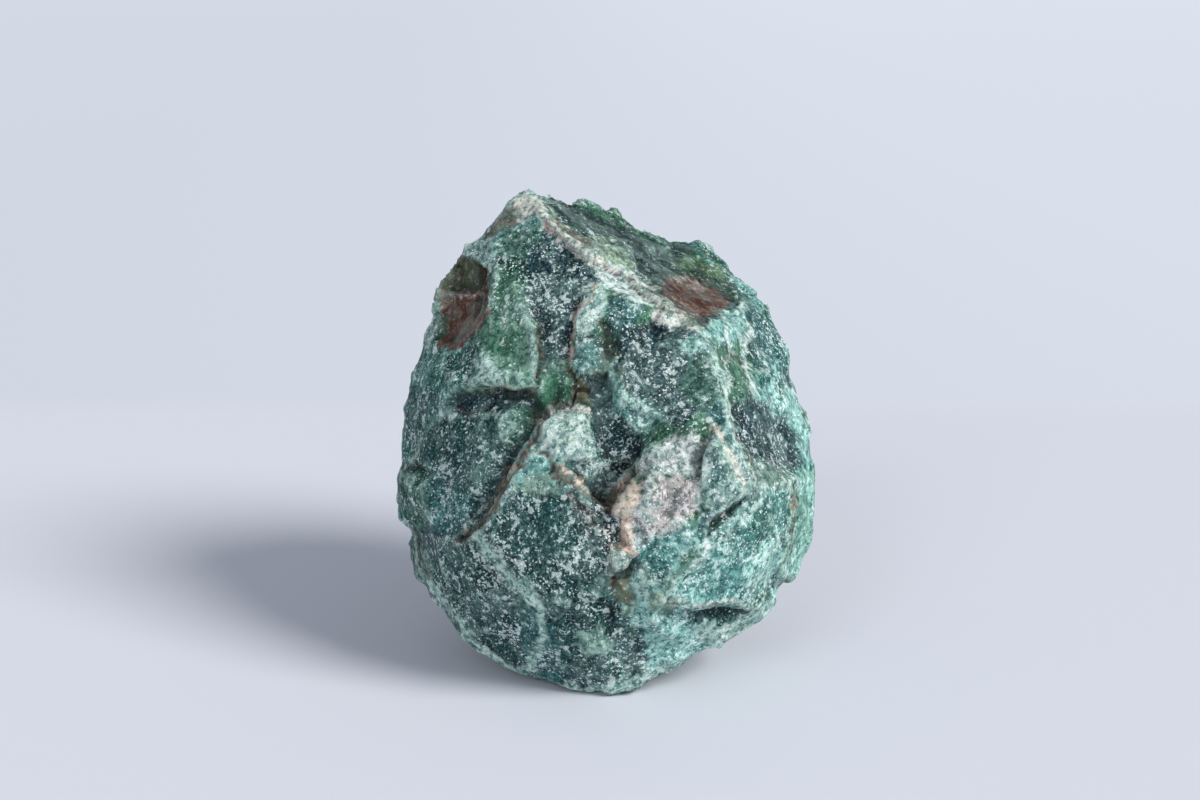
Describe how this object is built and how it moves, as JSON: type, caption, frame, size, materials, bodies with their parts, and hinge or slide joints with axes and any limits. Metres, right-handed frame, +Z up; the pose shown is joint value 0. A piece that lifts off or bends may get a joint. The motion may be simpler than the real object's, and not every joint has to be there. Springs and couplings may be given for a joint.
{
  "type": "serpentine rock",
  "caption": "Fist-sized broken serpentine stone with flat faces, stepped ledges, a hollow scar and sharp ridges, resting on a small flat spot",
  "frame": {"origin": "bottom centre of the bounding box, on the flat spot that the stone rests on", "axes": "+Z up through the peak, +Y away from the side with the ledges, +X to the right as seen from that side"},
  "size_m": [0.1008, 0.0922, 0.1096],
  "materials": {
    "serpentine": "broken sugary stone, deep green with mint and white grains, pale ridges and rust-brown stains, slightly glossy"
  },
  "bodies": {
    "root": {"rock": "serpentine"}
  },
  "joints": []
}
